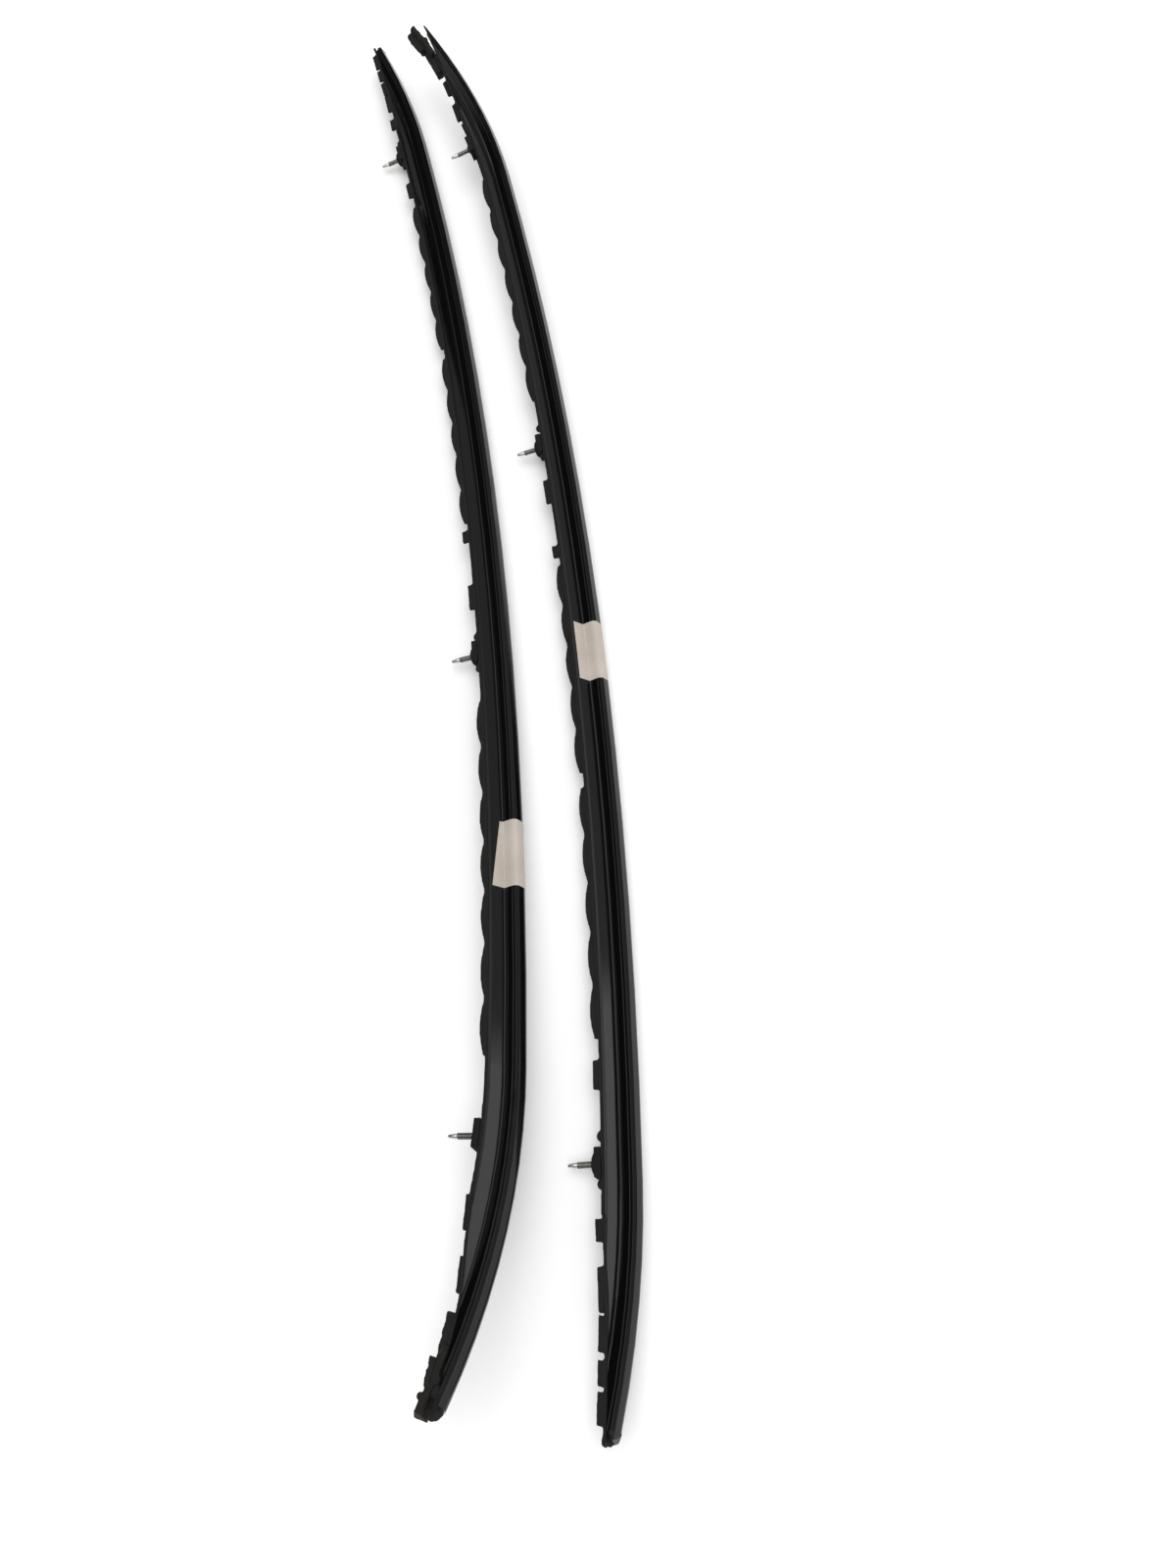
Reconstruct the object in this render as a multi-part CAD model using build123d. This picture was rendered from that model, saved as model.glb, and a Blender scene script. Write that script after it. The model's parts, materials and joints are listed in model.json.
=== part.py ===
from build123d import *
from math import atan2, ceil, cos, degrees, radians, sin
import os

# A mirror-image pair of flush roof side rails, lying on their outboard sides.
# Each rail is a bent and end-trimmed aluminium extrusion with a moulded base seal,
# three studs in foam pads, a loose seal tongue at the front and a plug at the rear.
# Sizes are millimetres and degrees.
# A section has x inboard from the stud axis, y up from the base, z along the rail to the rear.

# Base line of the extrusion, tip to tip: three tangent arcs in one plane
FRONT_RADIUS = 590.0
FRONT_LENGTH = 269.0
MAIN_RADIUS = 5370.0
MAIN_LENGTH = 1275.0
REAR_RADIUS = 740.0
REAR_LENGTH = 188.0
RUN_OUT = 30.0
SECTION_TURN = 38.0

# Extrusion section
FOOT_OUT = 11.5
FOOT_IN = 11.3
FOOT_EDGE = 2.5
NECK_X = -0.6
NECK_Y = 11.1
LIP_X = 1.7
LIP_Y = 19.6
GROOVE_DEEP = 1.4
GROOVE_TALL = 2.9
NOSE_X = 2.0
SHOULDER_X = -0.1
SHOULDER_Y = 25.9
CROWN_X = -9.5
HEAD_TALL = 29.2
HEAD_OUT = 18.5
HEAD_OUT_Y = 25.5
FLANK_OUT = 18.8
FLANK_Y = 19.5
WALL = 2.0
CROWN_ROUND = 8.0
HEAD_ROUND = 5.0
NECK_ROUND = 1.5
EDGE_ROUND = 0.5

# Channel along the base that takes the stud heads
CHANNEL_WIDE = 12.0
CHANNEL_TALL = 2.6
CHANNEL_FLOOR = 1.8
SLOT_WIDE = 7.2

# Foot cut away towards the tips: distance from the tip, height of the cut
FRONT_TRIM = ((0.0, 24.0), (20.0, 20.0), (41.0, 15.3), (70.0, NECK_Y), (154.0, 0.0))
REAR_TRIM = ((0.0, 19.0), (42.0, NECK_Y), (160.0, 0.0))
STATION_STEP = 30.0

# Base seal
SEAT = 0.1
SEAL_THICK = 3.5
LIP_THICK = 3.6
FRONT_LIP_DEEP = 5.8
REAR_LIP_DEEP = 7.0
LOBE_SCALLOP = 3.1
LOBE_PITCH = 52.0
LOBE_BULGE = 1.2
LOBE_ROOT = 0.3
SET_BACK = 0.5
KEEL_THICK = 3.0
KEEL_DEEP = 3.0
SEAL_FRONT = 41.0
SEAL_REAR = 12.0
PRONG_RISE = 1.0
PRONG_ROUND = 3.5

# Studs, along the base line, and their pads
FRONT_STUD = 208.0
MIDDLE_STUD = 715.0
REAR_STUD_FROM_REAR = 203.0
STUD_RADIUS = 3.0
STUD_REACH = 36.0
STUD_POINT = 3.0
STUD_POINT_RADIUS = 1.9
STUD_HEAD = 11.0
STUD_HEAD_TALL = 2.3
COLLAR_RADIUS = 4.8
COLLAR_TALL = 2.4
HOLE_CLEARANCE = 0.4
PAD_LONG = 26.0
PAD_DEEP = 6.5
PAD_OUT = 8.0

# Wavy lip and blocks, set out from the studs
FRONT_WAVE_CLEAR = 69.0
MIDDLE_WAVE_CLEAR = 64.0
MIDDLE_BLOCK = 71.0
SMALL_BLOCK = 155.0
REAR_WAVE_START = 174.0
REAR_WAVE_BREAK = 16.0
REAR_WAVE_CLEAR = 109.0
BLOCK_LONG = 33.0
BLOCK_DEEP = 6.0
SMALL_BLOCK_LONG = 16.0
FRONT_BLOCK_INSET = 8.0

# Rows of blocks beside the end studs: shift from the stud, length
FRONT_BLOCKS = ((-113.0, 28.0), (-65.0, 30.0))
REAR_BLOCKS = ((-76.0, 27.0), (57.0, 19.0), (103.0, 35.0), (136.5, 27.0), (165.0, 19.0), (190.0, 24.0))

# Seal tongue under the front tip
TONGUE_ROOT = 66.0
TONGUE_REACH = 10.0
TONGUE_LOW = 2.0
TONGUE_HEEL = 9.0
TONGUE_OUT = 18.5
TONGUE_IN = 0.5
TONGUE_ROUND = 2.5
TAIL_LOW = 0.0
TAIL_IN = -4.0
TAIL_RISE = 4.0
TAIL_TAPER = 8.0
RIB_PLACE = 16.0
RIB_RADIUS = 4.0
RIB_PROUD = 3.0

# Rear plug
PLUG_CROWN = 9.5
PLUG_LOW_END = 26.0
PLUG_ROUND = 15.0
PLUG_DOME = 14.0
PLUG_UNDERCUT = -13.0
PLUG_SPIGOT = 24.0
PLUG_PLAY = 0.2

# How the pair lies on the floor
LIE_ROLL = 22.1
LIE_TILT = 1.6
LEFT_YAW = 5.8
RIGHT_YAW = 7.9
PAIR_SPACING = 101.0
PAIR_STAGGER = -25.0

FULL_LENGTH = FRONT_LENGTH + MAIN_LENGTH + REAR_LENGTH
REAR_STUD = FULL_LENGTH - REAR_STUD_FROM_REAR
TURN = radians(SECTION_TURN)
SKY = Vector(0, 0, 1)


def bent_line():
    """The base line with its run-outs, its chord along Y and the middle of its chord at the origin."""
    front = JernArc((0, 0), (0, 1), FRONT_RADIUS, degrees((FRONT_LENGTH + RUN_OUT) / FRONT_RADIUS))
    main = JernArc(front @ 1, front % 1, MAIN_RADIUS, degrees(MAIN_LENGTH / MAIN_RADIUS))
    rear = JernArc(main @ 1, main % 1, REAR_RADIUS, degrees((REAR_LENGTH + RUN_OUT) / REAR_RADIUS))
    line = Wire([front, main, rear])
    tip = line.position_at(RUN_OUT, PositionMode.LENGTH)
    tail = line.position_at(RUN_OUT + FULL_LENGTH, PositionMode.LENGTH)
    chord = tail - tip
    middle = (tip + tail) / 2
    off_square = 90 - degrees(atan2(chord.Y, chord.X))
    return Rot(0, 0, off_square) * Pos(-middle.X, -middle.Y, 0) * line


base_line = bent_line()


def station(distance):
    """Section plane at a distance from the front tip: x inboard, y up, z to the rear."""
    along = RUN_OUT + distance
    point = base_line.position_at(along, PositionMode.LENGTH)
    ahead = base_line.tangent_at(along, PositionMode.LENGTH)
    outward = ahead.cross(SKY)
    inboard = SKY * cos(TURN) - outward * sin(TURN)
    return Plane(origin=point, x_dir=inboard, z_dir=ahead)


def run(section, start, end):
    """A section carried along the base line between two distances from the front tip."""
    whole = base_line.length
    path = base_line.trim((RUN_OUT + start) / whole, (RUN_OUT + end) / whole)
    return sweep(station(start) * section, path=path)


def rect(x_low, x_high, y_low, y_high):
    """A rectangle by its edges."""
    return Pos((x_low + x_high) / 2, (y_low + y_high) / 2) * Rectangle(x_high - x_low, y_high - y_low)


def foot_trim(distance):
    """Height up to which the foot is cut away at a distance from the front tip."""
    rear = distance > FULL_LENGTH / 2
    tip_run = FULL_LENGTH - distance if rear else distance
    steps = REAR_TRIM if rear else FRONT_TRIM
    for (near, high), (far, low) in zip(steps, steps[1:]):
        if tip_run <= far:
            return high + (low - high) * (tip_run - near) / (far - near)
    return 0.0


def seal_top(distance):
    """Top of the seal: it follows the trimmed foot as far as the rear tip, where the prong leaves it."""
    past_tip = max(distance - FULL_LENGTH, 0.0)
    return foot_trim(distance - past_tip) + PRONG_RISE * past_tip / SEAL_REAR


def foot_edge(distance):
    """Inboard edge of what is left of the foot at a distance from the front tip."""
    slope = (FOOT_IN - NECK_X) / (NECK_Y - FOOT_EDGE)
    return FOOT_IN - slope * min(max(foot_trim(distance) - FOOT_EDGE, 0.0), NECK_Y - FOOT_EDGE)


def outline(rounded):
    """Outside of the extrusion: foot, facet, neck, lip, shadow groove, nose, crown and outboard flank."""
    nose_y = LIP_Y + GROOVE_TALL
    corners = {
        "foot_out": (-FOOT_OUT, 0),
        "foot_in": (FOOT_IN, 0),
        "facet_low": (FOOT_IN, FOOT_EDGE),
        "neck": (NECK_X, NECK_Y),
        "lip": (LIP_X, LIP_Y),
        "groove": (LIP_X - GROOVE_DEEP, LIP_Y + GROOVE_TALL / 2),
        "nose": (NOSE_X, nose_y),
        "shoulder": (SHOULDER_X, SHOULDER_Y),
        "crown": (CROWN_X, HEAD_TALL),
        "head_out": (-HEAD_OUT, HEAD_OUT_Y),
        "flank": (-FLANK_OUT, FLANK_Y),
    }
    face = make_face(Polyline(*corners.values(), close=True))
    if not rounded:
        return face
    rounds = {
        "facet_low": EDGE_ROUND,
        "neck": NECK_ROUND,
        "lip": EDGE_ROUND,
        "nose": EDGE_ROUND,
        "shoulder": NECK_ROUND,
        "crown": CROWN_ROUND,
        "head_out": HEAD_ROUND,
        "flank": HEAD_ROUND,
    }
    for name, radius in rounds.items():
        spot = Vector(*corners[name])
        corner = face.vertices().sort_by_distance(spot)[0]
        face = fillet(corner, radius)
    return face


def chamber():
    """The closed hollow of the extrusion, above the web over the stud channel."""
    inside = offset(outline(False), -WALL, kind=Kind.INTERSECTION)
    web_top = CHANNEL_FLOOR + CHANNEL_TALL + WALL
    return inside & rect(-2 * HEAD_OUT, 2 * FOOT_IN, web_top, HEAD_TALL)


def extrusion_section():
    """The rounded outline less its chamber, the stud channel and the channel's slot."""
    channel = rect(-CHANNEL_WIDE / 2, CHANNEL_WIDE / 2, CHANNEL_FLOOR, CHANNEL_FLOOR + CHANNEL_TALL)
    slot = rect(-SLOT_WIDE / 2, SLOT_WIDE / 2, 0, CHANNEL_FLOOR)
    return outline(True) - chamber() - channel - slot


def from_tip(distance, rear):
    """A distance from either tip as a distance from the front tip."""
    return FULL_LENGTH - distance if rear else distance


def trimmed_strip(rear, x_low, x_high, y_low, y_high):
    """A strip lofted along one trimmed end: its bounds are functions of the distance."""
    runs = [step[0] for step in (REAR_TRIM if rear else FRONT_TRIM)]
    distances = [-RUN_OUT / 2, 0]
    for near, far in zip(runs, runs[1:]):
        count = ceil((far - near) / STATION_STEP)
        distances += [near + (far - near) * (number + 1) / count for number in range(count)]
    faces = []
    for distance in distances:
        place = from_tip(distance, rear)
        faces.append(station(place) * rect(x_low(place), x_high(place), y_low(place), y_high(place)))
    return loft(faces)


def foot_cutter(rear):
    """What the foot loses towards one tip."""
    return trimmed_strip(
        rear,
        lambda place: -2 * HEAD_OUT,
        lambda place: 2 * HEAD_OUT,
        lambda place: -HEAD_TALL,
        foot_trim,
    )


def rail():
    """The extrusion, its foot cut away towards both tips so that the crown ends in a blade."""
    return run(extrusion_section(), 0, FULL_LENGTH) - foot_cutter(False) - foot_cutter(True)


def lobe(long, deep):
    """One swelling of the lip: a scalloped lower edge, bulging inboard, its ends inside the plain lip."""
    half = long / 2
    top = SEAL_THICK / 4
    root_y = LOBE_SCALLOP + LOBE_ROOT - deep
    root_x = -LOBE_BULGE - LOBE_ROOT
    back = LOBE_ROOT - LIP_THICK
    buried_edge = Polyline((root_y, -half), (top, -half), (top, half), (root_y, half))
    scallop = ThreePointArc((root_y, half), (-deep, 0), (root_y, -half))
    back_edge = Polyline((root_x, half), (back, half), (back, -half), (root_x, -half))
    belly = ThreePointArc((root_x, -half), (0, 0), (root_x, half))
    across = Pos(back, 0, 0) * extrude(Plane.YZ * make_face(buried_edge + scallop), -back)
    upright = extrude(Plane.XZ * make_face(back_edge + belly), 2 * deep, both=True)
    return across & upright


def wavy_lip(start, end, deep):
    """A plain lip between two distances and as many whole lobes as fit along it."""
    edge = FOOT_IN - 2 * SET_BACK
    low = LOBE_SCALLOP - SEAL_THICK - deep
    plain = run(rect(edge - LIP_THICK, edge - LOBE_BULGE, low, -SEAL_THICK / 2), start, end)
    count = round((end - start) / LOBE_PITCH)
    pitch = (end - start) / count
    shape = Pos(edge, -SEAL_THICK, 0) * lobe(pitch - SET_BACK, deep)
    lobes = [station(start + (number + 0.5) * pitch).location * shape for number in range(count)]
    return [plain] + lobes


def lip_block(middle, length, deep, inset=2 * SET_BACK):
    """A square block under the seal, set in from its trimmed or plain inboard edge."""
    ends = []
    for place in (middle - length / 2, middle + length / 2):
        top = seal_top(place) - SEAL_THICK / 2
        inboard = foot_edge(place) - inset
        low = top - SEAL_THICK / 2 - deep
        ends.append(station(place) * rect(inboard - LIP_THICK, inboard, low, top))
    return loft(ends)


def seal_end(rear):
    """The seal where it rises with the trimmed foot."""
    strip = trimmed_strip(
        rear,
        lambda place: -FOOT_OUT,
        lambda place: foot_edge(place) - SET_BACK,
        lambda place: foot_trim(place) - SEAL_THICK,
        lambda place: foot_trim(place) - SEAT,
    )
    if rear:
        return split(strip, bisect_by=station(FULL_LENGTH), keep=Keep.BOTTOM)
    return split(strip, bisect_by=station(SEAL_FRONT), keep=Keep.TOP)


def seal_prong():
    """Rear end of the seal: it leaves the trimmed foot and reaches past the tip, rounded in plan."""
    ends = []
    for place in (FULL_LENGTH, FULL_LENGTH + SEAL_REAR):
        top = seal_top(place)
        flange = rect(-FOOT_OUT, foot_edge(FULL_LENGTH) - SET_BACK, top - SEAL_THICK, top - SEAT)
        ends.append(station(place) * flange)
    prong = loft(ends)
    tip = station(FULL_LENGTH)
    to_rear = Axis(tip.origin, tip.z_dir)
    tail_face = prong.faces().sort_by(to_rear)[-1]
    return fillet(tail_face.edges().sort_by(SortBy.LENGTH)[:2], PRONG_ROUND)


def base_seal():
    """Moulded strip under the extrusion: flat flange, wavy inboard lip with blocks, outboard keel."""
    plain_start = FRONT_TRIM[-1][0]
    plain_end = FULL_LENGTH - REAR_TRIM[-1][0]
    flange = run(rect(-FOOT_OUT, FOOT_IN - SET_BACK, -SEAL_THICK, -SEAT), plain_start, plain_end)
    keel_edge = -FOOT_OUT + SET_BACK
    keel_section = rect(keel_edge, keel_edge + KEEL_THICK, -SEAL_THICK - KEEL_DEEP, -SEAL_THICK / 2)
    pieces = [run(keel_section, plain_start, plain_end), seal_end(False), seal_end(True), seal_prong()]
    for shift, long in FRONT_BLOCKS:
        pieces.append(lip_block(FRONT_STUD + shift, long, BLOCK_DEEP, FRONT_BLOCK_INSET))
    for shift, long in REAR_BLOCKS:
        pieces.append(lip_block(REAR_STUD + shift, long, BLOCK_DEEP))
    pieces.append(lip_block(MIDDLE_STUD + MIDDLE_BLOCK, BLOCK_LONG, BLOCK_DEEP))
    pieces.append(lip_block(MIDDLE_STUD + SMALL_BLOCK, SMALL_BLOCK_LONG, REAR_LIP_DEEP))
    rear_start = MIDDLE_STUD + REAR_WAVE_START
    rear_end = REAR_STUD - REAR_WAVE_CLEAR
    middle = (rear_start + rear_end) / 2
    pieces += wavy_lip(FRONT_STUD + FRONT_WAVE_CLEAR, MIDDLE_STUD - MIDDLE_WAVE_CLEAR, FRONT_LIP_DEEP)
    pieces += wavy_lip(rear_start, middle - REAR_WAVE_BREAK / 2, REAR_LIP_DEEP)
    pieces += wavy_lip(middle + REAR_WAVE_BREAK / 2, rear_end, REAR_LIP_DEEP)
    strip = flange.fuse(*pieces)
    return strip - [stud_hole(place) for place in (FRONT_STUD, MIDDLE_STUD, REAR_STUD)]


def stud_hole(distance):
    """Clearance for a stud through the seal and its pad."""
    drill = Cylinder(STUD_RADIUS + HOLE_CLEARANCE, 2 * STUD_REACH, rotation=(90, 0, 0))
    return station(distance).location * drill


def stud_pad(distance):
    """Foam block that seals the roof around a stud."""
    top = -SEAL_THICK - SEAT
    section = rect(-PAD_OUT, FOOT_IN - SET_BACK, top - PAD_DEEP, top)
    return run(section, distance - PAD_LONG / 2, distance + PAD_LONG / 2) - stud_hole(distance)


def stud(distance):
    """Square-headed stud: head in the channel, collar under the pad, dog point at the end."""
    head_low = CHANNEL_FLOOR + SEAT
    collar_top = -SEAL_THICK - PAD_DEEP - 2 * SEAT
    profile = make_face(
        Polyline(
            (0, head_low + STUD_HEAD_TALL / 2),
            (STUD_RADIUS, head_low + STUD_HEAD_TALL / 2),
            (STUD_RADIUS, collar_top),
            (COLLAR_RADIUS, collar_top),
            (STUD_RADIUS, collar_top - COLLAR_TALL),
            (STUD_RADIUS, -STUD_REACH + STUD_POINT),
            (STUD_POINT_RADIUS, -STUD_REACH),
            (0, -STUD_REACH),
            close=True,
        )
    )
    shank = revolve(profile, Axis.Y)
    head = Pos(0, head_low + STUD_HEAD_TALL / 2, 0) * Box(STUD_HEAD, STUD_HEAD_TALL, STUD_HEAD)
    return station(distance).location * (shank + head)


def front_tongue():
    """Loose end of the seal: a tail under the flange and a thick end reaching past the blade."""
    top = foot_trim(SEAL_FRONT) - SEAT
    section = make_face(
        Polyline(
            (-TONGUE_OUT, TONGUE_LOW),
            (TONGUE_IN, TONGUE_HEEL),
            (TONGUE_IN, top),
            (-TONGUE_OUT, top),
            close=True,
        )
    )
    bar = run(section, -TONGUE_REACH, SEAL_FRONT - SEAT)
    tip_face = bar.faces().sort_by_distance(station(-TONGUE_REACH).origin)[0]
    bar = fillet(tip_face.edges().sort_by(SortBy.LENGTH)[-2:], TONGUE_ROUND)
    tail_top = foot_trim(TONGUE_ROOT) - SEAL_THICK - 2 * SEAT
    outboard = SET_BACK - TONGUE_OUT
    hidden_end = rect(outboard, TAIL_IN - TAIL_TAPER, TAIL_LOW + TAIL_RISE, tail_top)
    free_end = rect(outboard, TAIL_IN, TAIL_LOW, tail_top)
    tail = loft([station(SEAL_FRONT / 2) * hidden_end, station(TONGUE_ROOT) * free_end])
    middle = (TONGUE_IN - TONGUE_OUT) / 2
    rib = Cylinder(RIB_RADIUS, TONGUE_IN + TONGUE_OUT - 2 * SET_BACK, rotation=(0, 90, 0))
    rib_place = station(RIB_PLACE).location * Pos(middle, top + RIB_PROUD - RIB_RADIUS, 0)
    return bar + tail + rib_place * rib


def rear_plug():
    """Moulded plug: a domed tip, undercut on its inboard side, and a spigot in the chamber."""
    joint = station(FULL_LENGTH).location
    plan = Pos(NOSE_X - PLUG_ROUND, 0, 0) * Plane.XZ * Ellipse(PLUG_ROUND, PLUG_CROWN)
    side = Plane.YZ * (Pos(HEAD_TALL - PLUG_DOME, 0) * Ellipse(PLUG_DOME, PLUG_CROWN))
    dome = extrude(plan, 2 * HEAD_TALL, both=True) & extrude(side, 2 * HEAD_OUT, both=True)
    tip = run(outline(False), FULL_LENGTH + SEAT, FULL_LENGTH + PLUG_CROWN) & (joint * dome)
    bore = offset(chamber(), -PLUG_PLAY, kind=Kind.INTERSECTION)
    spigot = run(bore, FULL_LENGTH - PLUG_SPIGOT, FULL_LENGTH + PLUG_CROWN / 2)
    slope = Polyline(
        (-HEAD_TALL, 0),
        (foot_trim(FULL_LENGTH), 0),
        (PLUG_LOW_END, PLUG_CROWN),
        (-HEAD_TALL, PLUG_CROWN),
        close=True,
    )
    under = Pos(PLUG_UNDERCUT, 0, 0) * extrude(Plane.YZ * make_face(slope), 2 * HEAD_OUT)
    return tip + spigot - foot_cutter(True) - joint * under


def one_rail():
    """Every piece of one rail, in the frame of its base line."""
    pieces = {
        "rail": rail(),
        "base_seal": base_seal(),
        "front_tongue": front_tongue(),
        "rear_plug": rear_plug(),
    }
    for name, place in (("front", FRONT_STUD), ("middle", MIDDLE_STUD), ("rear", REAR_STUD)):
        pieces[f"{name}_stud"] = stud(place)
        pieces[f"{name}_stud_pad"] = stud_pad(place)
    return {name: piece.solid() for name, piece in pieces.items()}


def laid_pair():
    """Both rails on the floor, the right one a mirror image turned end for end."""
    lying = {name: Rot(-LIE_TILT, 0, 0) * Rot(0, LIE_ROLL, 0) * piece for name, piece in one_rail().items()}
    pair = {f"left_{name}": Rot(0, 0, LEFT_YAW) * piece for name, piece in lying.items()}
    for name, piece in lying.items():
        flipped = mirror(piece, about=Plane.XZ)
        pair[f"right_{name}"] = Pos(PAIR_SPACING, PAIR_STAGGER, 0) * Rot(0, 0, RIGHT_YAW) * flipped
    box = Compound(list(pair.values())).bounding_box()
    home = Pos(-box.center().X, -box.center().Y, -box.min.Z)
    return {name: home * piece for name, piece in pair.items()}


if __name__ == "__main__":
    os.makedirs("parts", exist_ok=True)
    for node, shape in laid_pair().items():
        export_step(shape, f"parts/{node}.step")
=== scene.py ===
# %% [markdown]
# # A pair of roof side rails
#
# Two gloss black roof rails lie next to each other on a pale studio floor, one turned end for end.
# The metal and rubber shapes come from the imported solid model, which is the fixed frame of this scene.
# What is added here is what solids do not carry: finishes, softened rubber and foam edges,
# cut threads on the studs, and the bare paper stickers.

# %% Imports and the frame
import json
import math

import bmesh
import bpy
from mathutils import Matrix, Vector, noise as value_noise
from mathutils.bvhtree import BVHTree


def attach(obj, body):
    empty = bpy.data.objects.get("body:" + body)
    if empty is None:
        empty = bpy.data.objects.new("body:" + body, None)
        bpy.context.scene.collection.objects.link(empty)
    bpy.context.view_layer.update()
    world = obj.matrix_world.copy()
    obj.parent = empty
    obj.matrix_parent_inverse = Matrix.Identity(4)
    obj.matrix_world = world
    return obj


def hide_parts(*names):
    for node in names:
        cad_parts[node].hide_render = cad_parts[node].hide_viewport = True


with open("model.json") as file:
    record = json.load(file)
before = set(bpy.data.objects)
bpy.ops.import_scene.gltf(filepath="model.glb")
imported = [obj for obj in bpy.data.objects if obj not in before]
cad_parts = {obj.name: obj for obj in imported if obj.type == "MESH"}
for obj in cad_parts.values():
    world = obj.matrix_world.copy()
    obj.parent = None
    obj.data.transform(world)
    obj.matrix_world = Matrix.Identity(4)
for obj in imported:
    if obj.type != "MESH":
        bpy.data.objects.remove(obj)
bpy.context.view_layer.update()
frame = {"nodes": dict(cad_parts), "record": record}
MM = 0.001
SIDES = ("left", "right")
STUDS = ("front", "middle", "rear")
print("nodes in the frame:", len(frame["nodes"]))

# %% [markdown]
# ## Where the pieces sit
#
# The record of the solid model lists each stud as a pin with a middle point, an axis and a length.
# Three such pins on one rail are enough to find the plane in which the rail bends,
# so the scene needs no second copy of the rail's own sizes.

# %% Stud places from the record
pins = {mount["name"]: mount for mount in frame["record"]["mounts"] if mount["kind"] == "pin"}
BASE_TO_PIN = 22.8 * MM


def pin_middle(side, stud):
    """Middle of a stud's thread."""
    return Vector(pins[f"{side}_{stud}_stud"]["pos_m"])


def pin_axis(side, stud):
    """Direction of a stud, away from the rail."""
    return Vector(pins[f"{side}_{stud}_stud"]["axis"]).normalized()


def base_point(side, stud):
    """Where a stud's axis meets the underside of the extrusion."""
    return pin_middle(side, stud) - pin_axis(side, stud) * BASE_TO_PIN


def bend_normal(side):
    """Normal of the plane in which a rail bends."""
    front, middle, rear = (base_point(side, stud) for stud in STUDS)
    return (middle - front).cross(rear - middle).normalized()


def outward(side, stud):
    """In the plane of the bend and square to the rail, out of the stud's foot."""
    axis = pin_axis(side, stud)
    normal = bend_normal(side)
    return (axis - normal * axis.dot(normal)).normalized()


def to_rear(side, stud):
    """Direction of the rail at a stud, towards its rear end."""
    way = bend_normal(side).cross(outward(side, stud))
    chord = base_point(side, "rear") - base_point(side, "front")
    return way if way.dot(chord) > 0 else -way


def inboard(side, stud):
    """Across the rail at a stud, to the side that faces up."""
    way = pin_axis(side, stud).cross(to_rear(side, stud))
    return way if way.z > 0 else -way


def stud_frame(side, stud):
    """Axes at a stud's foot, as columns: to the rear, inboard, up from the base."""
    axes = (to_rear(side, stud), inboard(side, stud), -pin_axis(side, stud))
    return Matrix.Translation(base_point(side, stud)) @ Matrix(axes).transposed().to_4x4()


def carried(side, place, radius, shift):
    """A frame on the rail moved along one of its arcs, towards the rear for a positive shift."""
    normal = bend_normal(side)
    rear_way = place.col[0].xyz
    out_way = normal.cross(rear_way)
    if out_way.dot(place.col[2].xyz) > 0:
        out_way.negate()
    centre = Matrix.Translation(place.translation + out_way * radius)
    sense = 1 if out_way.cross(normal).dot(rear_way) > 0 else -1
    return centre @ Matrix.Rotation(sense * shift / radius, 4, normal) @ centre.inverted() @ place


for side in SIDES:
    print(side, "rail bends about", [round(value, 3) for value in bend_normal(side)])

# %% [markdown]
# ## Small helpers
#
# Every finish is a node tree around one Principled shader, so a few short helpers make the nodes and
# connect them: noise, a change of range, one sum of two values, a mix of two colours, and a bump.

# %% Helpers for materials
def new_material(name):
    """An empty material with a Principled shader and object coordinates."""
    material = bpy.data.materials.new(name)
    material.use_nodes = True
    tree = material.node_tree
    shader = tree.nodes["Principled BSDF"]
    place = tree.nodes.new("ShaderNodeTexCoord")
    return material, tree, shader, place.outputs["Object"]


def add_node(tree, kind, settings=None, **sockets):
    """A node with its properties set, and its sockets set or linked by name."""
    node = tree.nodes.new(kind)
    for key, value in (settings or {}).items():
        setattr(node, key, value)
    for key, value in sockets.items():
        socket = node.inputs[key.replace("_", " ")]
        if isinstance(value, bpy.types.NodeSocket):
            tree.links.new(value, socket)
        else:
            socket.default_value = value
    return node


def noise(tree, place, scale, detail=3.0, rough=0.5):
    """Grey noise whose blobs are about 1 / scale metres across."""
    node = add_node(tree, "ShaderNodeTexNoise", Vector=place, Scale=scale, Detail=detail, Roughness=rough)
    return node.outputs["Fac"]


def remap(tree, value, low, high, new_low, new_high):
    """A value moved from one range to another and clamped."""
    node = add_node(tree, "ShaderNodeMapRange", Value=value)
    node.inputs["From Min"].default_value = low
    node.inputs["From Max"].default_value = high
    node.inputs["To Min"].default_value = new_low
    node.inputs["To Max"].default_value = new_high
    return node.outputs["Result"]


def combined(tree, operation, first, second):
    """One sum of two grey values."""
    node = add_node(tree, "ShaderNodeMath", {"operation": operation})
    tree.links.new(first, node.inputs[0])
    tree.links.new(second, node.inputs[1])
    return node.outputs[0]


def blend_colours(tree, factor, first, second):
    """Two colours mixed by a grey value."""
    node = add_node(tree, "ShaderNodeMix", {"data_type": "RGBA"})
    tree.links.new(factor, node.inputs[0])
    node.inputs[6].default_value = (*first, 1.0)
    node.inputs[7].default_value = (*second, 1.0)
    return node.outputs[2]


def bumped(tree, shader, height, depth, strength):
    """Drives the shader's normal by a height map."""
    node = add_node(tree, "ShaderNodeBump", Height=height, Distance=depth, Strength=strength)
    tree.links.new(node.outputs["Normal"], shader.inputs["Normal"])


# %% [markdown]
# One more helper turns a bmesh into an object that sits at the origin and rides with the rails.

# %% Helper for pieces
WELD = 0.001 * MM


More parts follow.
